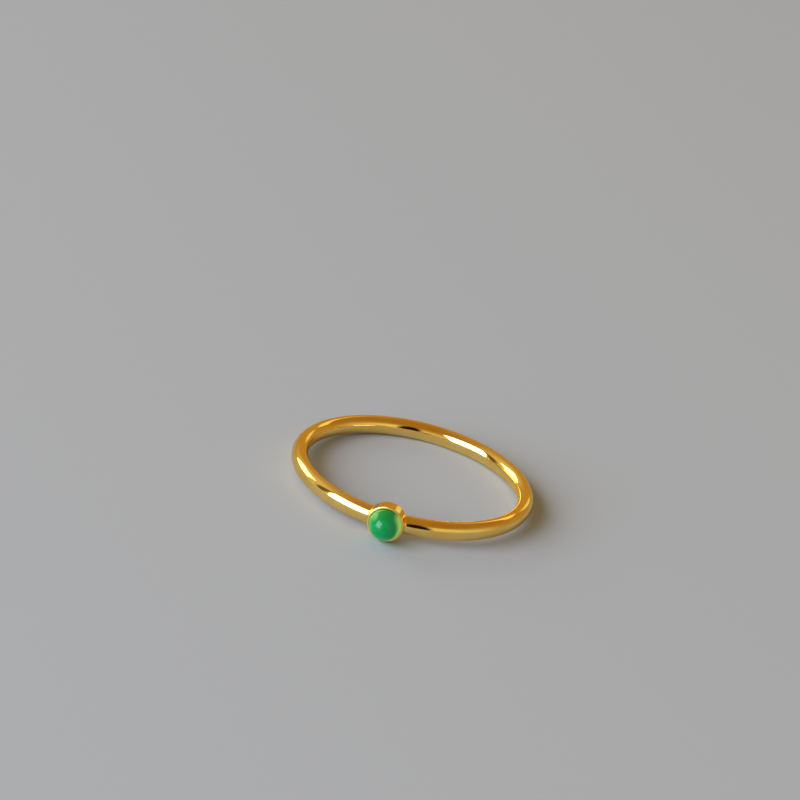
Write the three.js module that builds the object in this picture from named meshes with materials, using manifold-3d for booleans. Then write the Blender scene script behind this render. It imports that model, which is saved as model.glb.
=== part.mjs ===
// A stackable ring: a thin hoop of oval gold wire with one small round cabochon in a plain cup.
// Millimetres, +Z up. The ring lies on its side on the plane Z = 0, propped on its cup at -Y.

import * as THREE from "three";
import { ParametricGeometry } from "three/addons/geometries/ParametricGeometry.js";
import { mergeVertices } from "three/addons/utils/BufferGeometryUtils.js";
import Module from "manifold-3d";

// Band
const BORE_DIAMETER = 17.4;
const WIRE_THICKNESS = 1.35; // from the finger outwards
const WIRE_WIDTH = 1.55; // along the finger

// Stone
const STONE_DIAMETER = 2.6;
const DOME_HEIGHT = 1.7; // from the girdle's top edge to the crown
const GIRDLE_HEIGHT = 0.4; // straight side below the dome
const STONE_BEVEL = 0.08; // on the edge of the flat back

// Cup
const CUP_WALL = 0.15;
const CUP_DEPTH = 1.2; // from the rim to the back
const RIM_RISE = 0.3; // rim above the band's outer face
const RIM_ROUND = 0.07; // on the rim's outer edge
const BACK_ROUND = 0.1; // on the edge of the cup's back
const SOLDER_FILLET = 0.2; // where the wire runs into the cup's wall
const SHALLOWEST_CORNER = 0.9; // that the fillet fills, as a cosine

// Fit of the stone in the cup
const STONE_CLEARANCE = 0.05; // all round the stone
const GIRDLE_DROP = 0.2; // girdle's top edge below the rim

// Fineness of the round forms
const WIRE_SIDES = 20;
const HOOP_STEPS = 96; // over the stretch of band that the cup leaves bare
const FILLET_STEPS = 6; // over each solder fillet
const FILLET_ENDS = [-0.3, -0.15]; // sections inside the cup's wall, in shares of the fillet
const HIDDEN_STEPS = 4; // inside the cup
const CUP_SIDES = 48;
const STONE_SIDES = 40;
const DOME_STEPS = 10;
const ROUND_STEPS = 3;
const MERGE_TOLERANCE = 1e-5;

// Colours
const GOLD = { color: 0xdba233, roughness: 0.14, metalness: 1 };
const GREEN_STONE = { color: 0x0b8a45, roughness: 0.1, metalness: 0 };

// Distances from the ring's axis, outwards through the cup
const wireCentre = (BORE_DIAMETER + WIRE_THICKNESS) / 2;
const rimPlane = BORE_DIAMETER / 2 + WIRE_THICKNESS + RIM_RISE;
const cupBack = rimPlane - CUP_DEPTH;
const girdleTop = rimPlane - GIRDLE_DROP;
const stoneBack = girdleTop - GIRDLE_HEIGHT;

// Distances from the cup's own axis
const stoneRadius = STONE_DIAMETER / 2;
const pocketRadius = stoneRadius + STONE_CLEARANCE;
const cupRadius = pocketRadius + CUP_WALL;

const wasm = await Module();
wasm.setup();

// Turns a closed geometry into a solid that can be joined and cut.
function toSolid(geometry) {
  const bare = geometry.clone();
  bare.deleteAttribute("normal");
  bare.deleteAttribute("uv");
  const merged = mergeVertices(bare, MERGE_TOLERANCE);
  const vertProperties = new Float32Array(merged.attributes.position.array);
  const triVerts = new Uint32Array(merged.index.array);
  return new wasm.Manifold(new wasm.Mesh({ numProp: 3, vertProperties, triVerts }));
}

// Turns a joined or cut solid back into a geometry.
function toGeometry(solid) {
  const mesh = solid.getMesh();
  const geometry = new THREE.BufferGeometry();
  geometry.setAttribute("position", new THREE.BufferAttribute(mesh.vertProperties, 3));
  geometry.setIndex(new THREE.BufferAttribute(mesh.triVerts, 1));
  geometry.computeVertexNormals();
  return geometry;
}

// Height that a round solder fillet adds to the wire at a distance outside the cup's wall. It touches
// both the wire and the wall, whose outward directions have the cosine that is given as facing.
function filletHeight(distance, facing) {
  const corner = Math.acos(THREE.MathUtils.clamp(facing, 0, SHALLOWEST_CORNER));
  const toe = SOLDER_FILLET * Math.tan(corner / 2);
  const length = SOLDER_FILLET * Math.sin(corner);
  const inFromToe = THREE.MathUtils.clamp(toe - distance / Math.sin(corner), 0, length);
  return SOLDER_FILLET - Math.sqrt(SOLDER_FILLET ** 2 - inFromToe ** 2);
}

// Cosine of the angle between the wire's outward direction and the cup wall's, at a point of the band
// at the angle given as around its section and the angle given as along the band.
function wallFacing(around, along, sideways, height) {
  const normal = new THREE.Vector2(Math.cos(around) / WIRE_THICKNESS, Math.sin(around) / WIRE_WIDTH);
  normal.normalize();
  const fromAxis = Math.hypot(sideways, height);
  const alike = normal.x * Math.sin(along) * sideways + normal.y * height;
  return alike / Math.max(fromAxis, SOLDER_FILLET);
}

// Values spaced evenly from one end to the other, both ends included.
function evenly(from, to, steps) {
  return Array.from({ length: steps + 1 }, (_, i) => THREE.MathUtils.lerp(from, to, i / steps));
}

// Angles along the band of its sections, for one line of the wire. Those near the cup keep a fixed
// distance from the cup's axis, so that they run round its wall and lie close over each fillet.
function sectionAngles(outwards, height) {
  const shares = [...FILLET_ENDS, ...evenly(0, 1, FILLET_STEPS).map((share) => share ** 2)];
  const overFillet = shares.map((share) => cupRadius + SOLDER_FILLET * share);
  const near = [cupRadius - CUP_WALL, ...overFillet].map((distance) => {
    return Math.asin(Math.sqrt(distance ** 2 - height ** 2) / outwards);
  });
  const hidden = evenly(-near[0], near[0], HIDDEN_STEPS);
  const toe = near.at(-1);
  const bare = evenly(toe, 2 * Math.PI - toe, HOOP_STEPS);
  const back = near.map((angle) => 2 * Math.PI - angle).reverse();
  return [...hidden, ...near.slice(1), ...bare.slice(1), ...back.slice(1)];
}

// Hoop of oval wire about Z. Near the cup each section swells into the solder fillet, but only
// on the side of the wire that lies ahead of the cup's back.
function bandGeometry() {
  const lines = evenly(0, 2 * Math.PI, WIRE_SIDES).map((around) => {
    const outwards = wireCentre + (WIRE_THICKNESS / 2) * Math.cos(around);
    const height = (WIRE_WIDTH / 2) * Math.sin(around);
    return { around, outwards, height, angles: sectionAngles(outwards, height) };
  });
  const steps = lines[0].angles.length - 1;
  const pointAt = (u, v, target) => {
    const { around, outwards, height, angles } = lines[Math.round(v * WIRE_SIDES)];
    const along = angles[Math.round(u * steps)];
    const sideways = outwards * Math.sin(along);
    const facing = wallFacing(around, along, sideways, height);
    const towardsRim = outwards * Math.cos(along) - cupBack;
    const ahead = THREE.MathUtils.smoothstep(towardsRim, -SOLDER_FILLET, SOLDER_FILLET);
    const swell = filletHeight(Math.hypot(sideways, height) - cupRadius, facing) * ahead;
    const reach = outwards + swell * Math.cos(around);
    target.set(reach * Math.sin(along), -reach * Math.cos(along), height + swell * Math.sin(around));
  };
  return new ParametricGeometry(pointAt, steps, WIRE_SIDES);
}

// Points of a quarter round, with the angle measured from the outward direction.
function quarterRound(centreX, centreY, radius, fromAngle, toAngle) {
  const points = [];
  for (let i = 0; i <= ROUND_STEPS; i += 1) {
    const angle = THREE.MathUtils.lerp(fromAngle, toAngle, i / ROUND_STEPS);
    points.push(new THREE.Vector2(centreX + radius * Math.cos(angle), centreY + radius * Math.sin(angle)));
  }
  return points;
}

// Turns a profile about the cup's axis. Its heights are distances from the ring's axis towards -Y.
function turned(profile, sides) {
  return new THREE.LatheGeometry(profile, sides).rotateX(Math.PI);
}

// Radius of the stone's dome at a distance from the ring's axis: a half ellipse over the girdle.
function domeRadius(distance) {
  return stoneRadius * Math.sqrt(1 - ((distance - girdleTop) / DOME_HEIGHT) ** 2);
}

// Solid body of the cup, with a rounded rim and a rounded back edge.
function cupGeometry() {
  const profile = [
    new THREE.Vector2(0, cupBack),
    ...quarterRound(cupRadius - BACK_ROUND, cupBack + BACK_ROUND, BACK_ROUND, -Math.PI / 2, 0),
    ...quarterRound(cupRadius - RIM_ROUND, rimPlane - RIM_ROUND, RIM_ROUND, 0, Math.PI / 2),
    new THREE.Vector2(0, rimPlane),
  ];
  return turned(profile, CUP_SIDES);
}

// Pocket for the stone: flat floor, straight wall, and a lip that follows the foot of the dome.
function pocketGeometry() {
  const lipRadius = domeRadius(rimPlane) + STONE_CLEARANCE;
  const profile = [
    new THREE.Vector2(0, stoneBack - STONE_CLEARANCE),
    new THREE.Vector2(pocketRadius, stoneBack - STONE_CLEARANCE),
    new THREE.Vector2(pocketRadius, girdleTop),
    new THREE.Vector2(lipRadius, rimPlane),
    new THREE.Vector2(lipRadius, rimPlane + CUP_DEPTH),
    new THREE.Vector2(0, rimPlane + CUP_DEPTH),
  ];
  return turned(profile, CUP_SIDES);
}

// Hoop and cup soldered into one piece, with the stone's pocket cut last, so that it is clear of wire.
function bandAndSetting() {
  const joined = toSolid(bandGeometry()).add(toSolid(cupGeometry()));
  const geometry = toGeometry(joined.subtract(toSolid(pocketGeometry())));
  const mesh = new THREE.Mesh(geometry, new THREE.MeshStandardMaterial(GOLD));
  mesh.name = "band_and_setting";
  return mesh;
}

// Round cabochon: flat back with a small bevel, straight girdle and a high dome.
function stone() {
  const profile = [
    new THREE.Vector2(0, stoneBack),
    new THREE.Vector2(stoneRadius - STONE_BEVEL, stoneBack),
    new THREE.Vector2(stoneRadius, stoneBack + STONE_BEVEL),
  ];
  for (let i = 0; i < DOME_STEPS; i += 1) {
    const angle = ((Math.PI / 2) * i) / DOME_STEPS;
    const height = DOME_HEIGHT * Math.sin(angle);
    profile.push(new THREE.Vector2(domeRadius(girdleTop + height), girdleTop + height));
  }
  profile.push(new THREE.Vector2(0, girdleTop + DOME_HEIGHT));
  const mesh = new THREE.Mesh(turned(profile, STONE_SIDES), new THREE.MeshStandardMaterial(GREEN_STONE));
  mesh.name = "stone";
  return mesh;
}

// Slope of the ring at rest: it stands on the inner end of its cup and on the far side of the band.
function restTilt() {
  const rise = cupRadius - WIRE_WIDTH / 2;
  const span = cupBack + BACK_ROUND + wireCentre;
  return Math.asin(rise / span);
}

const ring = new THREE.Group();
ring.add(bandAndSetting(), stone());
ring.rotation.x = -restTilt();

const group = new THREE.Group();
group.add(ring);

// The origin is the middle of the ring's box, at the height of the surface it lies on.
const box = new THREE.Box3().setFromObject(group, true);
const middle = box.getCenter(new THREE.Vector3());
ring.position.set(-middle.x, -middle.y, -box.min.z);

export default group;
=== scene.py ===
"""Dresses a stackable ring: polished gold band and cup, green cabochon, floor, light and camera.

Lengths are metres in the frame's own axes, and angles are degrees where they are given as fields.
Shapes are worked out in the ring's own frame, with the finger hole's axis along Z and the cup pointing
towards -Y, and RestPose turns them to where they lie. A reach is a distance from that axis to -Y.
"""

import logging
import math
from collections.abc import Mapping
from dataclasses import dataclass, field
from enum import Enum
from typing import Any

import bpy
import numpy as np
from mathutils import Matrix, Vector


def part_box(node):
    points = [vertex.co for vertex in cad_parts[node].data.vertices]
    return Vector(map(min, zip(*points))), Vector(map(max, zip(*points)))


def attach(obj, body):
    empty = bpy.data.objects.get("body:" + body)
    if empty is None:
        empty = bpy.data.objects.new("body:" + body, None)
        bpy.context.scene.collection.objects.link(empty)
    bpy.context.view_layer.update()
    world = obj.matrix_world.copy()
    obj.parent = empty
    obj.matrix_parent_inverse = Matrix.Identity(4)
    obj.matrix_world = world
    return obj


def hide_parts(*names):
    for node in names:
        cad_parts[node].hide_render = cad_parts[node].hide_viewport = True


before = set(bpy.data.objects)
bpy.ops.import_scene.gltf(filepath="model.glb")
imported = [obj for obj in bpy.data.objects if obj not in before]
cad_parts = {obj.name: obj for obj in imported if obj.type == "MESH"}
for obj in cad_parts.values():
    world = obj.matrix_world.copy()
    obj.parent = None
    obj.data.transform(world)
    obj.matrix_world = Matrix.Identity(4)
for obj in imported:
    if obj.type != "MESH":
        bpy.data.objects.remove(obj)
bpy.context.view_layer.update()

log = logging.getLogger("ring")

Colour = tuple[float, float, float, float]
Span = tuple[float, float]

MM = 0.001
BODY = "root"

# Share of the radius at which a flat round face has a ring of points of its own
FLAT_RING = 0.5

# Middle of the range of a noise node
NOISE_MIDDLE = 0.5

# Sockets of the Mix node when it mixes colours
MIX_FACTOR = 0
MIX_FIRST = 6
MIX_SECOND = 7
MIX_RESULT = 2


class Slot(Enum):
    """Material slots of the record."""

    GOLD = "polished_gold"
    STONE = "green_stone"


class Work(Enum):
    """What is done with a second solid: it is soldered on, or its form is cut out."""

    SOLDER = "UNION"
    CUT = "DIFFERENCE"


class Signal:
    """A node's output of numbers, usable in Python expressions.

    Each operator adds one Math node, so 1 - mask is a Subtract node fed by 1 and the mask.
    """

    def __init__(self, desk: "Desk", socket: bpy.types.NodeSocket | None) -> None:
        """Wraps one output socket of a node on the desk."""
        self.desk = desk
        self.socket = socket

    def _math(self, operation: str, *values: "Signal | float") -> "Signal":
        """Adds a Math node that works on the given values."""
        return self.desk.add("ShaderNodeMath", {"operation": operation}, dict(enumerate(values)))

    def __add__(self, other: "Signal | float") -> "Signal":
        """Sum."""
        return self._math("ADD", self, other)

    def __radd__(self, other: "Signal | float") -> "Signal":
        """Sum, reflected."""
        return self._math("ADD", other, self)

    def __sub__(self, other: "Signal | float") -> "Signal":
        """Difference."""
        return self._math("SUBTRACT", self, other)

    def __rsub__(self, other: "Signal | float") -> "Signal":
        """Difference, reflected."""
        return self._math("SUBTRACT", other, self)

    def __neg__(self) -> "Signal":
        """Nought less this value."""
        return self._math("SUBTRACT", 0, self)

    def __mul__(self, other: "Signal | float") -> "Signal":
        """Product."""
        return self._math("MULTIPLY", self, other)

    def __rmul__(self, other: "Signal | float") -> "Signal":
        """Product, reflected."""
        return self._math("MULTIPLY", other, self)

    def __truediv__(self, other: "Signal | float") -> "Signal":
        """Quotient."""
        return self._math("DIVIDE", self, other)

    def __rtruediv__(self, other: "Signal | float") -> "Signal":
        """Quotient, reflected."""
        return self._math("DIVIDE", other, self)

    def __pow__(self, other: "Signal | float") -> "Signal":
        """Power."""
        return self._math("POWER", self, other)

    def __rpow__(self, other: "Signal | float") -> "Signal":
        """Power, reflected."""
        return self._math("POWER", other, self)

    def greater_than(self, other: "Signal | float") -> "Signal":
        """One where this value is the larger, nought elsewhere."""
        return self._math("GREATER_THAN", self, other)

    def ramp(self, low: float, high: float) -> "Signal":
        """Smooth step from nought to one.

        Args:
            low: value at which the step is nought.
            high: value at which the step is one, which may lie below low.

        Returns:
            The step.
        """
        if low > high:
            return 1 - self.ramp(high, low)
        settings = {"interpolation_type": "SMOOTHSTEP"}
        values = {"Value": self, "From Min": low, "From Max": high}
        return self.desk.add("ShaderNodeMapRange", settings, values)

    def part(self, name: str) -> "Signal":
        """Another output of the same node."""
        return Signal(self.desk, self.socket.node.outputs[name])


class Desk:
    """The node tree of one material or of the world, and the one method that adds nodes to it."""

    def __init__(self, tree: bpy.types.NodeTree) -> None:
        """Clears the tree."""
        self.tree = tree
        tree.nodes.clear()

    def add(
        self,
        kind: str,
        settings: Mapping[str, Any] | None = None,
        values: Mapping[int | str, Any] | None = None,
        output: int | str = 0,
    ) -> Signal:
        """Adds a node.

        Args:
            kind: Blender's name of the node's type.
            settings: properties of the node, set before its sockets.
            values: for each input socket, a number, a tuple or a Signal to link.
            output: the output socket to hand back.

        Returns:
            The chosen output as a Signal.
        """
        node = self.tree.nodes.new(kind)
        for name, value in (settings or {}).items():
            setattr(node, name, value)
        for name, value in (values or {}).items():
            socket = node.inputs[name]
            if isinstance(value, Signal):
                self.tree.links.new(value.socket, socket)
            else:
                socket.default_value = value
        return Signal(self, node.outputs[output]) if node.outputs else Signal(self, None)

    def blend(self, factor: Signal, first: Signal | Colour, second: Signal | Colour) -> Signal:
        """Mixes two colours: the first at factor nought, the second at one."""
        values = {MIX_FACTOR: factor, MIX_FIRST: first, MIX_SECOND: second}
        return self.add("ShaderNodeMix", {"data_type": "RGBA"}, values, MIX_RESULT)

    def vector(self, x: Signal, y: Signal, z: Signal) -> Signal:
        """A vector from three numbers."""
        return self.add("ShaderNodeCombineXYZ", None, {"X": x, "Y": y, "Z": z})

    def noise(self, settings: Mapping[str, Any], values: Mapping[int | str, Any]) -> Signal:
        """Fractal noise from nought to one."""
        return self.add("ShaderNodeTexNoise", settings, values)


def colour(red: float, green: float, blue: float) -> Colour:
    """An opaque linear colour."""
    return (red, green, blue, 1.0)


@dataclass(frozen=True)
class Skin:
    """A surface as whole arrays: its points, and its faces as indices into them."""

    points: np.ndarray
    quads: np.ndarray
    triangles: np.ndarray

    def to_mesh(self, name: str) -> bpy.types.Mesh:
        """Makes a Blender mesh of the surface.

        Args:
            name: the mesh's name.

        Returns:
            The mesh, smooth shaded.
        """
        mesh = bpy.data.meshes.new(name)
        corners = np.concatenate([self.quads.ravel(), self.triangles.ravel()]).astype(np.int32)
        sizes = np.concatenate([np.full(len(self.quads), 4), np.full(len(self.triangles), 3)])
        starts = np.concatenate([[0], np.cumsum(sizes)[:-1]]).astype(np.int32)
        mesh.vertices.add(len(self.points))
        mesh.vertices.foreach_set("co", self.points.astype(np.float32).ravel())
        mesh.loops.add(len(corners))
        mesh.loops.foreach_set("vertex_index", corners)
        mesh.polygons.add(len(sizes))
        mesh.polygons.foreach_set("loop_start", starts)
        mesh.update(calc_edges=True)
        mesh.validate()
        mesh.shade_smooth()
        return mesh


def tube_skin(grid: np.ndarray) -> Skin:
    """Closes a grid of points on itself both ways.

    The faces join each point to the next one along both axes, the last to the first.

    Args:
        grid: points as (sections, sides, 3), the sides running clockwise seen along the tube.

    Returns:
        The closed surface, with outward faces.
    """
    sections, sides = grid.shape[:2]
    index = np.arange(sections * sides).reshape(sections, sides)
    ahead = np.roll(index, -1, axis=0)
    quads = np.stack([index, ahead, np.roll(ahead, -1, axis=1), np.roll(index, -1, axis=1)], axis=-1)
    return Skin(grid.reshape(-1, 3), quads.reshape(-1, 4), np.empty((0, 3), int))


def turned_skin(radii: np.ndarray, reaches: np.ndarray, sides: int) -> Skin:
    """Turns a profile about the cup's axis.

    A point of radius r and reach d goes to (r cos f, -d, r sin f) for each angle f round the axis.
    The first and the last point of the profile lie on the axis, and each stays one vertex there.

    Args:
        radii: distances from the cup's axis.
        reaches: distances from the ring's axis, growing from the first to the last.
        sides: number of points round the axis.

    Returns:
        The closed surface, with outward faces.
    """
    angles = np.linspace(0, 2 * np.pi, sides, endpoint=False)
    rows = len(radii) - 2
    rings = np.empty((rows, sides, 3))
    rings[..., 0] = radii[1:-1, None] * np.cos(angles)
    rings[..., 1] = -reaches[1:-1, None]
    rings[..., 2] = radii[1:-1, None] * np.sin(angles)
    ends = np.array([[0, -reaches[0], 0], [0, -reaches[-1], 0]])
    index = np.arange(rows * sides).reshape(rows, sides)
    following = np.roll(index, -1, axis=1)
    quads = np.stack([index[:-1], following[:-1], following[1:], index[1:]], axis=-1).reshape(-1, 4)
    first, last = rows * sides, rows * sides + 1
    back = np.stack([following[0], index[0], np.full(sides, first)], axis=-1)
    front = np.stack([index[-1], following[-1], np.full(sides, last)], axis=-1)
    return Skin(np.concatenate([rings.reshape(-1, 3), ends]), quads, np.concatenate([back, front]))


def quarter_round(radius: float, start: float, end: float, steps: int) -> tuple[np.ndarray, np.ndarray]:
    """Offsets of an arc from its centre: radius times cosine and radius times sine of the angle.

    Args:
        radius: the arc's radius.
        start: first angle, in degrees from the outward direction.
        end: last angle.
        steps: number of steps between them.

    Returns:
        The offsets outwards and the offsets along the axis.
    """
    angles = np.radians(np.linspace(start, end, steps + 1))
    return radius * np.cos(angles), radius * np.sin(angles)


def smooth_step(share: np.ndarray) -> np.ndarray:
    """Three times the square less twice the cube of a share, which is kept from nought to one."""
    share = np.clip(share, 0, 1)
    return share * share * (3 - 2 * share)


@dataclass(frozen=True)
class Cabochon:
    """The round stone: flat back with a small bevel, straight girdle and a high dome."""

    radius: float = 1.3 * MM
    dome_height: float = 1.7 * MM
    girdle_height: float = 0.4 * MM
    bevel: float = 0.08 * MM
    girdle_top: float = 10.15 * MM
    sides: int = 160
    dome_steps: int = 56
    bevel_steps: int = 6
    girdle_steps: int = 5

    def dome_radius(self, reach: np.ndarray | float) -> np.ndarray | float:
        """Radius of the dome at a reach: a half ellipse that stands on the girdle's top edge."""
        return self.radius * np.sqrt(1 - ((reach - self.girdle_top) / self.dome_height) ** 2)

    @property
    def back(self) -> float:
        """Reach of the flat back."""
        return self.girdle_top - self.girdle_height

    def skin(self) -> Skin:
        """Surface of the stone.

        The dome's points lie at even angles on its ellipse: the radius times the cosine, and the
        height times the sine. The bevel and the girdle get a few points each, so that the smooth
        shading stays on the dome.

        Returns:
            The closed surface in the ring's own frame.
        """
        angles = np.linspace(0, np.pi / 2, self.dome_steps + 1)
        edge_out, edge_up = quarter_round(self.bevel, -90, 0, self.bevel_steps)
        girdle = np.linspace(self.back + self.bevel, self.girdle_top, self.girdle_steps + 1)[1:-1]
        radii = [[0, FLAT_RING * self.radius], self.radius - self.bevel + edge_out]
        radii += [np.full(len(girdle), self.radius), self.radius * np.cos(angles)]
        reaches = [[self.back, self.back], self.back + self.bevel + edge_up]
        reaches += [girdle, self.girdle_top + self.dome_height * np.sin(angles)]
        return turned_skin(np.concatenate(radii), np.concatenate(reaches), self.sides)


@dataclass(frozen=True)
class Cup:
    """The setting: a plain cup with a rounded lip and a rounded back edge."""

    stone: Cabochon
    radius: float = 1.5 * MM
    depth: float = 1.2 * MM
    rim: float = 10.35 * MM
    lip_outside: float = 0.09 * MM
    lip_inside: float = 0.07 * MM
    back_round: float = 0.1 * MM
    clearance: float = 0.012 * MM
    overcut: float = 0.5 * MM
    sides: int = 192
    round_steps: int = 10
    wall_steps: int = 9
    foot_steps: int = 4
    lip_end: float = 80.0

    @property
    def back(self) -> float:
        """Reach of the cup's back."""
        return self.rim - self.depth

    def body(self) -> Skin:
        """Surface of the solid cup before the pocket is cut.

        Two quarter rounds carry the straight wall into the flat back and into the flat rim.

        Returns:
            The closed surface in the ring's own frame.
        """
        back_out, back_up = quarter_round(self.back_round, -90, 0, self.round_steps)
        lip_out, lip_up = quarter_round(self.lip_outside, 0, 90, self.round_steps)
        wall_ends = self.back + self.back_round, self.rim - self.lip_outside
        wall = np.linspace(*wall_ends, self.wall_steps + 1)[1:-1]
        radii = [[0, FLAT_RING * self.radius], self.radius - self.back_round + back_out]
        radii += [np.full(len(wall), self.radius), self.radius - self.lip_outside + lip_out, [0]]
        reaches = [[self.back, self.back], self.back + self.back_round + back_up]
        reaches += [wall, self.rim - self.lip_outside + lip_up, [self.rim]]
        return turned_skin(np.concatenate(radii), np.concatenate(reaches), self.sides)

    def pocket(self) -> Skin:
        """Surface of the pocket that takes the stone.

        The pocket is the stone's own outline with a clearance added, and a quarter round flares
        it at the rim, which leaves the lip's inner edge rounded.

        Returns:
            The closed surface in the ring's own frame, standing out in front of the rim.
        """
        floor = self.stone.back - self.clearance
        foot = np.linspace(self.stone.girdle_top, self.rim - self.lip_inside, self.foot_steps + 1)
        neck = self.stone.dome_radius(foot[-1]) + self.clearance
        angles = np.radians(np.linspace(0, self.lip_end, self.round_steps + 1))[1:]
        flare = neck + self.lip_inside * (1 - np.cos(angles))
        side = self.stone.radius + self.clearance
        radii = [[0, side], self.stone.dome_radius(foot) + self.clearance, flare, [flare[-1], 0]]
        front = self.rim + self.overcut
        lip = self.rim - self.lip_inside * (1 - np.sin(angles))
        reaches = [[floor, floor], foot, lip, [front, front]]
        return turned_skin(np.concatenate(radii), np.concatenate(reaches), self.sides)


@dataclass(frozen=True)
class Band:
    """The hoop of oval wire, with a solder fillet where it runs into the cup."""

    cup: Cup
    bore: float = 17.4 * MM
    thickness: float = 1.35 * MM
    width: float = 1.55 * MM
    fillet: float = 0.2 * MM
    innermost: float = -1.0  # place of the last hidden section outside the cup's wall, in fillets
    fillet_start: float = -0.5  # place of the first section of the fillet, counted alike
    least_corner: float = 25.0
    sides: int = 72
    bare_sections: int = 560
    fillet_sections: int = 30
    hidden_sections: int = 6

    @property
    def centre_radius(self) -> float:
        """Distance of the wire's middle from the ring's axis."""
        return (self.bore + self.thickness) / 2

    def section_angles(self, outwards: np.ndarray, heights: np.ndarray) -> np.ndarray:
        """Angles along the band of its sections, for each line of the wire.

        A section near the cup keeps a fixed distance D from the cup's axis, so its angle is the
        arc sine of the root of D squared less the height squared, over the line's own radius.
        The other sections share the rest of the turn evenly.

        Args:
            outwards: each line's distance from the ring's axis.
            heights: each line's distance from the band's middle plane.

        Returns:
            The angles as (sections, lines), measured from the middle of the cup.
        """
        share = np.linspace(self.fillet_start, 1, self.fillet_sections + 1)
        distances = self.cup.radius + self.fillet * np.concatenate([[self.innermost], share])
        near = np.arcsin(np.sqrt(distances[:, None] ** 2 - heights**2) / outwards)
        hidden = np.linspace(-near[0], near[0], self.hidden_sections + 1)
        bare = np.linspace(near[-1], 2 * np.pi - near[-1], self.bare_sections + 1)
        back = 2 * np.pi - near[::-1]
        return np.concatenate([hidden, near[1:], bare[1:], back[1:-1]])

    def swell(
        self, from_cup: np.ndarray, facing: np.ndarray, towards_rim: np.ndarray
    ) -> np.ndarray:
        """Height of the solder fillet over the wire.

        The fillet is a hollow arc that touches both the wire and the cup's wall: its radius less
        the root of the radius squared less the square of the distance in from its toe. The toe
        lies the radius times the tangent of half the corner's angle away from the corner, and
        the arc ends the radius times the angle's sine further in. A smooth step fades the fillet
        out behind the cup.

        Args:
            from_cup: distance outside the cup's wall.
            facing: cosine of the angle between the wire's outward direction and the wall's.
            towards_rim: distance ahead of the cup's back.

        Returns:
            The added height at each point.
        """
        corner = np.clip(np.arccos(facing), math.radians(self.least_corner), math.pi / 2)
        toe = self.fillet * np.tan(corner / 2)
        inside_toe = np.clip(toe - from_cup / np.sin(corner), 0, self.fillet * np.sin(corner))
        ahead = smooth_step((towards_rim + self.fillet) / (2 * self.fillet))
        return (self.fillet - np.sqrt(self.fillet**2 - inside_toe**2)) * ahead

    def skin(self) -> Skin:
        """Surface of the band.

        Each section is an ellipse: half the thickness times the cosine outwards, and half the
        width times the sine along the ring's axis. The swell moves a point out along the section.

        Returns:
            The closed surface in the ring's own frame.
        """
        around = np.linspace(0, 2 * np.pi, self.sides, endpoint=False)
        outwards = self.centre_radius + self.thickness / 2 * np.cos(around)
        heights = self.width / 2 * np.sin(around)
        along = self.section_angles(outwards, heights)
        normal = np.stack([np.cos(around) / self.thickness, np.sin(around) / self.width])
        normal = normal / np.hypot(*normal)
        sideways = outwards * np.sin(along)
        from_axis = np.hypot(sideways, heights)
        facing = normal[0] * np.sin(along) * sideways + normal[1] * heights
        facing = facing / np.maximum(from_axis, self.fillet)
        towards_rim = outwards * np.cos(along) - self.cup.back
        swell = self.swell(from_axis - self.cup.radius, facing, towards_rim)
        reach = outwards + swell * np.cos(around)
        z = heights + swell * np.sin(around)
        return tube_skin(np.stack([reach * np.sin(along), -reach * np.cos(along), z], axis=-1))


@dataclass(frozen=True)
class RestPose:
    """How the ring lies: propped on its cup, with the far side of the band on the floor."""

    band: Band
    cad_node: str = "band_and_setting"

    @property
    def tilt(self) -> float:
        """Slope of the band's middle plane, up towards the stone.

        The cup's back edge and the wire's far side touch the floor, so its sine is the rise from
        one to the other over the distance between them.

        Returns:
            The slope in radians.
        """
        cup = self.band.cup
        rise = cup.radius - self.band.width / 2
        return math.asin(rise / (cup.back + cup.back_round + self.band.centre_radius))

    def _section_reach(self, angle: float) -> float:
        """How far the oval section reaches at an angle, in radians, to the wire's thickness."""
        band = self.band
        return math.hypot(band.thickness / 2 * math.cos(angle), band.width / 2 * math.sin(angle))

    @property
    def matrix(self) -> Matrix:
        """Turns the ring's own frame into the shared frame.

        The band's far side touches the floor and the back of the CAD band's box, which places
        the middle of the finger hole. The ring's middle plane holds X.

        Returns:
            The turn and the shift.
        """
        centre_radius = self.band.centre_radius
        far_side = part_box(self.cad_node)[1][1]
        y = far_side - centre_radius * math.cos(self.tilt) - self._section_reach(self.tilt)
        z = centre_radius * math.sin(self.tilt) + self._section_reach(math.pi / 2 - self.tilt)
        return Matrix.Translation((0, y, z)) @ Matrix.Rotation(-self.tilt, 4, "X")


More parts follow.
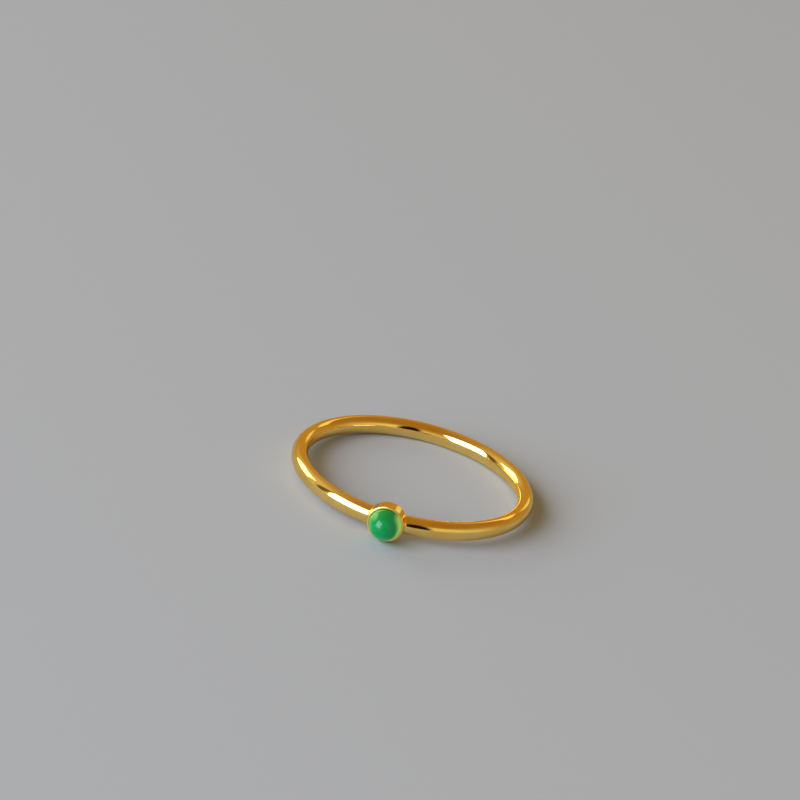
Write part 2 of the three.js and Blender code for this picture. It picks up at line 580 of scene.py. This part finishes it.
class Bench:
    """Puts finished surfaces into the scene as pieces."""

    def __init__(self, pose: RestPose) -> None:
        """Keeps the pose that every piece is turned by."""
        self.pose = pose

    def place(self, name: str, skin: Skin) -> bpy.types.Object:
        """Adds an object whose mesh is already where the piece lies.

        Args:
            name: the object's name.
            skin: its surface in the ring's own frame.

        Returns:
            The object, at the origin, unturned and unscaled.
        """
        mesh = skin.to_mesh(name)
        mesh.transform(self.pose.matrix)
        piece = bpy.data.objects.new(name, mesh)
        bpy.context.scene.collection.objects.link(piece)
        return piece

    @staticmethod
    def combine(body: bpy.types.Object, tool: bpy.types.Object, work: Work) -> None:
        """Solders a second solid to the first, or cuts it out, and takes the second away.

        Args:
            body: the object that stays.
            tool: the object that is used up.
            work: what is done with it.
        """
        modifier = body.modifiers.new(work.name, "BOOLEAN")
        modifier.operation = work.value
        modifier.solver = "EXACT"
        modifier.object = tool
        evaluated = body.evaluated_get(bpy.context.evaluated_depsgraph_get())
        result = bpy.data.meshes.new_from_object(evaluated)
        body.modifiers.clear()
        old, body.data = body.data, result
        result.name = body.name
        bpy.data.meshes.remove(old)
        bpy.data.objects.remove(tool)

    @staticmethod
    def finish_piece(
        piece: bpy.types.Object, node: str, slot: Slot, material: bpy.types.Material
    ) -> None:
        """Gives a piece its material and its body, hides its CAD part, and reports it.

        Args:
            piece: the finished object.
            node: the CAD node that it stands for.
            slot: not used.
            material: its finish.
        """
        piece.data.materials.clear()
        piece.data.materials.append(material)
        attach(piece, BODY)
        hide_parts(node)
        log.info("%s: %d faces", piece.name, len(piece.data.polygons))


@dataclass(frozen=True)
class RingCoordinates:
    """Object coordinates of a material, turned back into the ring's own frame, in millimetres."""

    pose: RestPose

    def on(self, desk: Desk) -> tuple[Signal, Signal, Signal]:
        """Adds the nodes.

        Args:
            desk: the material's node tree.

        Returns:
            The three coordinates.
        """
        matrix = self.pose.matrix
        place = desk.add("ShaderNodeTexCoord", output="Object")
        settings = {"vector_type": "TEXTURE"}
        values = {
            "Vector": place,
            "Location": matrix.to_translation(),
            "Rotation": matrix.to_euler(),
            "Scale": (MM, MM, MM),
        }
        turned = desk.add("ShaderNodeMapping", settings, values)
        split = desk.add("ShaderNodeSeparateXYZ", None, {0: turned})
        return split.part("X"), split.part("Y"), split.part("Z")


@dataclass(frozen=True)
class PolishedGold:
    """Mirror-polished gold plate, with the faint hairlines and soft waves that buffing leaves."""

    pose: RestPose
    plate: Colour = colour(1.0, 0.71, 0.23)
    deep_plate: Colour = colour(0.99, 0.64, 0.165)
    grazing: Colour = colour(1.0, 0.86, 0.62)
    tint_range: Span = (0.35, 0.7)
    roughness: float = 0.04
    hairline_roughness: float = 0.05
    hairline_range: Span = (0.5, 0.8)
    hairlines_per_mm: float = 14.0
    hairline_drift: float = 0.35
    hairline_detail: float = 3.0
    hairline_depth: float = 0.0005 * MM
    wave_per_mm: float = 0.7
    wave_detail: float = 2.0
    wave_depth: float = 0.004 * MM
    lip_roughness: float = 0.26
    lip_height: float = 0.12 * MM

    def _hairlines(
        self, desk: Desk, across: tuple[Signal, Signal], along: tuple[Signal, Signal]
    ) -> Signal:
        """Noise that is fine across the buffing direction and drawn out along it.

        Args:
            desk: the material's node tree.
            across: the two coordinates that cross the hairlines.
            along: the two coordinates in whose plane the hairlines run.

        Returns:
            The noise, from nought to one.
        """
        fine, long = self.hairlines_per_mm, self.hairline_drift
        place = desk.vector(across[0] * fine, across[1] * fine, along[0] * long)
        lengthwise = along[1] * long
        values = {"Vector": place, "W": lengthwise, "Scale": 1.0, "Detail": self.hairline_detail}
        return desk.noise({"noise_dimensions": "4D"}, values)

    def material(self) -> bpy.types.Material:
        """Makes the material.

        Hairlines run along the band, and round the cup where the point lies within the cup's
        wall. Both fields are noise on cylinder coordinates about the ring's and the cup's axis.
        The lip was pushed over the stone after the polishing, and is duller than the rest.

        Returns:
            The material.
        """
        material = bpy.data.materials.new("polished_gold")
        material.use_nodes = True
        desk = Desk(material.node_tree)
        x, y, z = RingCoordinates(self.pose).on(desk)
        from_ring_axis = (x * x + y * y) ** 0.5
        from_cup_axis = (x * x + z * z) ** 0.5
        band, cup = self.pose.band, self.pose.band.cup
        in_front = (-y).greater_than(band.bore / 2 / MM)
        on_cup = from_cup_axis.ramp((cup.radius + band.fillet) / MM, cup.radius / MM) * in_front
        band_lines = self._hairlines(desk, (from_ring_axis, z), (x, y))
        cup_lines = self._hairlines(desk, (from_cup_axis, y), (x, z))
        lines = band_lines * (1 - on_cup) + cup_lines * on_cup
        soft = {"Scale": self.wave_per_mm, "Detail": self.wave_detail}
        waves = desk.noise({}, {"Vector": desk.vector(x, y, z), **soft})
        tint = desk.blend(waves.ramp(*self.tint_range), self.plate, self.deep_plate)
        on_lip = (-y).ramp((cup.rim - self.lip_height) / MM, cup.rim / MM) * on_cup
        roughness = self.roughness + lines.ramp(*self.hairline_range) * self.hairline_roughness
        roughness = roughness + on_lip * self.lip_roughness
        height = waves * self.wave_depth + lines * self.hairline_depth
        bump = desk.add("ShaderNodeBump", None, {"Strength": 1.0, "Distance": 1.0, "Height": height})
        values = {
            "Base Color": tint,
            "Metallic": 1.0,
            "Specular Tint": self.grazing,
            "Roughness": roughness,
            "Normal": bump,
        }
        shader = desk.add("ShaderNodeBsdfPrincipled", None, values)
        desk.add("ShaderNodeOutputMaterial", None, {"Surface": shader})
        return material


@dataclass(frozen=True)
class GreenChalcedony:
    """Translucent green chalcedony, with painted light: paler at its two sides and a faint glow."""

    pose: RestPose
    stone: Cabochon
    core: Colour = colour(0.001, 0.215, 0.054)
    cloud: Colour = colour(0.001, 0.27, 0.072)
    upper: Colour = colour(0.005, 0.18, 0.02)
    # Painted light: the two side colours make the stone paler near its outline, the right one for light
    # gathered through the dome, the left one for the bright cup seen through it.
    right_painted_light: Colour = colour(0.42, 0.78, 0.17)
    left_painted_light: Colour = colour(0.09, 0.38, 0.08)
    # Painted glow: the three glow colours feed the emission, so the stone gives off light of its own.
    # The glow is strongest at the right edge and on the shaded lower side.
    painted_glow: Colour = colour(0.0, 0.055, 0.02)
    right_painted_glow: Colour = colour(0.16, 0.25, 0.065)
    low_painted_glow: Colour = colour(0.0, 0.16, 0.06)
    cloud_range: Span = (0.35, 0.7)
    upper_range: Span = (0.35, 0.95)
    low_range: Span = (0.2, 0.9)
    right_edge: Span = (0.78, 1.0)
    right_range: Span = (0.35, 0.85)
    left_edge: Span = (0.70, 1.0)
    left_range: Span = (0.30, 0.85)
    cloud_per_mm: float = 1.1
    cloud_detail: float = 4.0
    cloud_distortion: float = 0.6
    polish_per_mm: float = 9.0
    polish_detail: float = 3.0
    roughness: float = 0.18
    uneven_polish: float = 0.05
    subsurface: float = 0.5
    scatter: tuple[float, float, float] = (0.5, 1.0, 0.6)
    scatter_scale: float = 0.7 * MM
    transmission: float = 0.25
    refraction: float = 1.54
    gloss: float = 0.18

    def material(self) -> bpy.types.Material:
        """Makes the material.

        Soft noise clouds the core. The colour turns to the upper one with the height over the
        stone's axis, and to pale painted light close to the outline on either side of it, all
        counted in the stone's radius. A painted glow in the emission lights the whole stone
        faintly. It is strongest at the right edge, away from the window, where it stands in for
        light that would have gone through the dome, and a little stronger on the lower side. A
        finer noise leaves the polish a little uneven.

        Returns:
            The material.
        """
        material = bpy.data.materials.new("green_stone")
        material.use_nodes = True
        desk = Desk(material.node_tree)
        x, y, z = RingCoordinates(self.pose).on(desk)
        place = desk.vector(x, y, z)
        cloudy = {"Scale": self.cloud_per_mm, "Detail": self.cloud_detail}
        clouds = desk.noise({}, {"Vector": place, "Distortion": self.cloud_distortion, **cloudy})
        fine = {"Scale": self.polish_per_mm, "Detail": self.polish_detail}
        polish = desk.noise({}, {"Vector": place, **fine})
        to_right = x / (self.stone.radius / MM)
        upwards = z / (self.stone.radius / MM)
        tint = desk.blend(clouds.ramp(*self.cloud_range), self.core, self.cloud)
        tint = desk.blend(upwards.ramp(*self.upper_range), tint, self.upper)
        outwards = (to_right * to_right + upwards * upwards) ** 0.5
        # Painted light: paler tint near the outline on either side of the stone.
        left = (-to_right).ramp(*self.left_range) * outwards.ramp(*self.left_edge)
        right = to_right.ramp(*self.right_range) * outwards.ramp(*self.right_edge)
        tint = desk.blend(left, tint, self.left_painted_light)
        tint = desk.blend(right, tint, self.right_painted_light)
        # Painted glow, in the emission: faint all over, stronger on the lower side and at the right
        # edge.
        painted_glow = desk.blend((-upwards).ramp(*self.low_range), self.painted_glow, self.low_painted_glow)
        values = {
            "Base Color": tint,
            "Emission Color": desk.blend(right, painted_glow, self.right_painted_glow),
            "Emission Strength": 1.0,
            "Roughness": self.roughness + (polish - NOISE_MIDDLE) * self.uneven_polish,
            "IOR": self.refraction,
            "Specular IOR Level": self.gloss,
            "Subsurface Weight": self.subsurface,
            "Subsurface Radius": self.scatter,
            "Subsurface Scale": self.scatter_scale,
            "Transmission Weight": self.transmission,
        }
        shader = desk.add("ShaderNodeBsdfPrincipled", None, values)
        desk.add("ShaderNodeOutputMaterial", None, {"Surface": shader})
        return material


def heading(azimuth: float, elevation: float) -> Vector:
    """Direction from the ring.

    Args:
        azimuth: angle round Z from -Y, in front of the stone, growing towards +X.
        elevation: angle above the floor.

    Returns:
        The direction, of length one.
    """
    level = math.cos(math.radians(elevation))
    around = math.radians(azimuth)
    up = math.sin(math.radians(elevation))
    return Vector((math.sin(around) * level, -math.cos(around) * level, up))


@dataclass(frozen=True)
class Lamp:
    """A soft rectangular light that faces the ring. Its sizes are angles, in degrees."""

    name: str
    azimuth: float
    elevation: float
    width: float
    height: float
    radiance: float
    tint: tuple[float, float, float] = (1.0, 1.0, 1.0)
    distance: float = 1.5

    def build(self) -> None:
        """Adds the light. Its power is its radiance times its area times pi."""
        light = bpy.data.lights.new(self.name, "AREA")
        light.shape = "RECTANGLE"
        light.size = 2 * self.distance * math.tan(math.radians(self.width / 2))
        light.size_y = 2 * self.distance * math.tan(math.radians(self.height / 2))
        light.energy = self.radiance * light.size * light.size_y * math.pi
        light.color = self.tint
        lamp = bpy.data.objects.new(self.name, light)
        out = heading(self.azimuth, self.elevation)
        lamp.location = out * self.distance
        lamp.rotation_euler = out.to_track_quat("Z", "Y").to_euler()
        lamp.visible_camera = False
        bpy.context.scene.collection.objects.link(lamp)


@dataclass(frozen=True)
class Patch:
    """A soft-edged light or dark patch on the room's walls. Its half sizes are angles, in degrees."""

    azimuth: float
    elevation: float
    half_width: float
    half_height: float
    tint: Colour
    softness: float = 0.3

    def mask(self, desk: Desk, direction: Signal, height: Signal) -> Signal:
        """One inside the patch and nought outside it.

        The distance from the patch's middle counts in half widths sideways and in half heights
        up and down, and a smooth step round one makes the soft edge. What lies behind the ring,
        seen from the patch, is left out.

        Args:
            desk: the world's node tree.
            direction: the direction looked in.
            height: its upward part.

        Returns:
            The mask.
        """
        side = heading(self.azimuth + 90, 0)
        sideways = self._along(desk, direction, side) * (1 / math.sin(math.radians(self.half_width)))
        middle = math.sin(math.radians(self.elevation))
        upwards = (height - middle) * (1 / math.sin(math.radians(self.half_height)))
        distance = (sideways * sideways + upwards * upwards) ** 0.5
        ahead = self._along(desk, direction, heading(self.azimuth, 0)).greater_than(0)
        return distance.ramp(1 + self.softness, 1 - self.softness) * ahead

    @staticmethod
    def _along(desk: Desk, direction: Signal, axis: Vector) -> Signal:
        """Part of a direction that lies along an axis."""
        settings = {"operation": "DOT_PRODUCT"}
        return desk.add("ShaderNodeVectorMath", settings, {0: direction, 1: axis}, "Value")


@dataclass(frozen=True)
class Studio:
    """Plain pale floor, two soft windows and a warm, dim room, which the cool floor balances."""

    lamps: tuple[Lamp, ...] = (
        Lamp("window", -45.0, 22.5, 45.0, 45.0, 8.0, (0.94, 0.99, 1.06)),
        Lamp("side_window", -113.0, 19.0, 30.0, 24.0, 3.2, (1.0, 0.96, 0.84)),
    )
    patches: tuple[Patch, ...] = (
        Patch(-105.0, 26.0, 38.0, 23.0, colour(0.66, 0.58, 0.36), 0.5),  # pale wall on the left
        Patch(178.0, 24.0, 20.0, 16.0, colour(0.50, 0.30, 0.065), 0.5),  # warm wall behind
        Patch(-78.0, 18.0, 7.0, 20.0, colour(0.14, 0.12, 0.03), 0.5),  # dark gap between the windows
        Patch(44.0, 18.0, 24.0, 11.0, colour(0.76, 0.72, 0.46), 0.5),  # pale wall on the front right
        Patch(22.0, 10.0, 12.0, 27.0, colour(0.015, 0.008, 0.004)),  # dark upright in front
        Patch(162.0, 18.0, 7.0, 8.0, colour(0.85, 0.80, 0.45)),  # bright spot behind
        Patch(163.0, 35.0, 15.0, 3.5, colour(1.25, 0.95, 0.40)),  # bright strip over it
    )
    floor_size: float = 3.0
    floor_tint: Colour = colour(0.370, 0.415, 0.505)
    floor_roughness: float = 0.9
    front_wall: Colour = colour(0.64, 0.63, 0.40)
    back_wall: Colour = colour(0.42, 0.30, 0.115)
    ceiling: Colour = colour(0.36, 0.20, 0.05)
    wall_turn: Span = (-0.25, 0.45)
    wall_top: Span = (0.15, 0.8)

    def build(self) -> None:
        """Adds the floor, the lights and the room's light."""
        self._floor()
        for lamp in self.lamps:
            lamp.build()
        self._room()
        bpy.context.scene.view_settings.view_transform = "Standard"

    def _floor(self) -> None:
        """Adds the floor as one square at Z = 0."""
        half = self.floor_size / 2
        corners = [(-half, -half, 0), (half, -half, 0), (half, half, 0), (-half, half, 0)]
        mesh = bpy.data.meshes.new("floor")
        mesh.from_pydata(corners, [], [(0, 1, 2, 3)])
        floor = bpy.data.objects.new("floor", mesh)
        bpy.context.scene.collection.objects.link(floor)
        material = bpy.data.materials.new("floor")
        material.use_nodes = True
        desk = Desk(material.node_tree)
        values = {"Base Color": self.floor_tint, "Roughness": self.floor_roughness}
        shader = desk.add("ShaderNodeBsdfPrincipled", None, values)
        desk.add("ShaderNodeOutputMaterial", None, {"Surface": shader})
        mesh.materials.append(material)

    def _room(self) -> None:
        """Lights the world: a pale wall in front, a darker one behind, a warm ceiling, the patches."""
        world = bpy.data.worlds.new("room")
        world.use_nodes = True
        bpy.context.scene.world = world
        desk = Desk(world.node_tree)
        direction = desk.add("ShaderNodeTexCoord", output="Generated")
        split = desk.add("ShaderNodeSeparateXYZ", None, {0: direction})
        depth, height = split.part("Y"), split.part("Z")
        wall = desk.blend(depth.ramp(*self.wall_turn), self.front_wall, self.back_wall)
        tint = desk.blend(height.ramp(*self.wall_top), wall, self.ceiling)
        for patch in self.patches:
            tint = desk.blend(patch.mask(desk, direction, height), tint, patch.tint)
        background = desk.add("ShaderNodeBackground", None, {"Color": tint, "Strength": 1.0})
        desk.add("ShaderNodeOutputWorld", None, {"Surface": background})


@dataclass(frozen=True)
class PhotoCamera:
    """The photograph's view of the ring, for a picture of 800 by 800 pixels."""

    pose: RestPose
    picture: float = 800.0
    ring_centre: tuple[float, float] = (412.6, 476.5)
    pixels_per_mm: float = 12.30
    pitch: float = 24.2
    turn: float = 6.7
    roll: float = 13.9
    distance: float = 350 * MM
    nearest: float = 10 * MM
    sensor: float = 36.0

    def build(self) -> None:
        """Adds the camera.

        It looks down at the ring's own plane by the pitch, stands to the right of the stone by
        the turn, and leans by the roll. Its axis then swings aside, so that the middle of the
        finger hole falls on its own pixel.
        """
        pitch, turn, roll = map(math.radians, (self.pitch, self.turn, self.roll))
        frame_turn = self.pose.matrix.to_3x3() @ Matrix.Rotation(turn, 3, "Z")
        back = frame_turn @ Vector((0, -math.cos(pitch), math.sin(pitch)))
        level = frame_turn @ Vector((1, 0, 0))
        upright = back.cross(level)
        right = level * math.cos(roll) + upright * math.sin(roll)
        up = upright * math.cos(roll) - level * math.sin(roll)
        focal = self.pixels_per_mm / MM * self.distance
        aside = (self.ring_centre[0] - self.picture / 2) / focal
        below = (self.ring_centre[1] - self.picture / 2) / focal
        axis = (back + right * aside - up * below).normalized()
        right = up.cross(axis).normalized()
        up = axis.cross(right)
        camera_data = bpy.data.cameras.new("camera")
        camera_data.sensor_width = self.sensor
        camera_data.lens = focal / self.picture * self.sensor
        camera_data.clip_start = self.nearest
        camera = bpy.data.objects.new("camera", camera_data)
        turned = Matrix((right, up, axis)).transposed().to_4x4()
        spot = self.pose.matrix.to_translation() + back * self.distance
        camera.matrix_world = Matrix.Translation(spot) @ turned
        bpy.context.scene.collection.objects.link(camera)
        bpy.context.scene.camera = camera


@dataclass
class StackableRing:
    """The whole ring: its sizes, its pieces and their finishes."""

    stone: Cabochon = field(default_factory=Cabochon)
    sharp_angle: float = 38.0

    def __post_init__(self) -> None:
        """Builds the sizes that follow from the stone's."""
        self.cup = Cup(self.stone)
        self.band = Band(self.cup)
        self.pose = RestPose(self.band)
        self.bench = Bench(self.pose)

    def make_band_and_setting(self) -> None:
        """Solders the cup to the band, cuts the stone's pocket and polishes the whole."""
        piece = self.bench.place("band_and_cup", self.band.skin())
        self.bench.combine(piece, self.bench.place("cup_body", self.cup.body()), Work.SOLDER)
        self.bench.combine(piece, self.bench.place("cup_pocket", self.cup.pocket()), Work.CUT)
        piece.data.shade_smooth()
        piece.data.set_sharp_from_angle(angle=math.radians(self.sharp_angle))
        material = PolishedGold(self.pose).material()
        self.bench.finish_piece(piece, "band_and_setting", Slot.GOLD, material)

    def make_stone(self) -> None:
        """Cuts and polishes the stone."""
        piece = self.bench.place("cabochon", self.stone.skin())
        material = GreenChalcedony(self.pose, self.stone).material()
        self.bench.finish_piece(piece, "stone", Slot.STONE, material)


def main() -> None:
    """Builds the ring, the studio and the camera."""
    logging.basicConfig(level=logging.INFO, format="%(name)s %(message)s")
    ring = StackableRing()
    PhotoCamera(ring.pose).build()
    ring.make_band_and_setting()
    ring.make_stone()
    Studio().build()


if __name__ == "__main__":
    main()
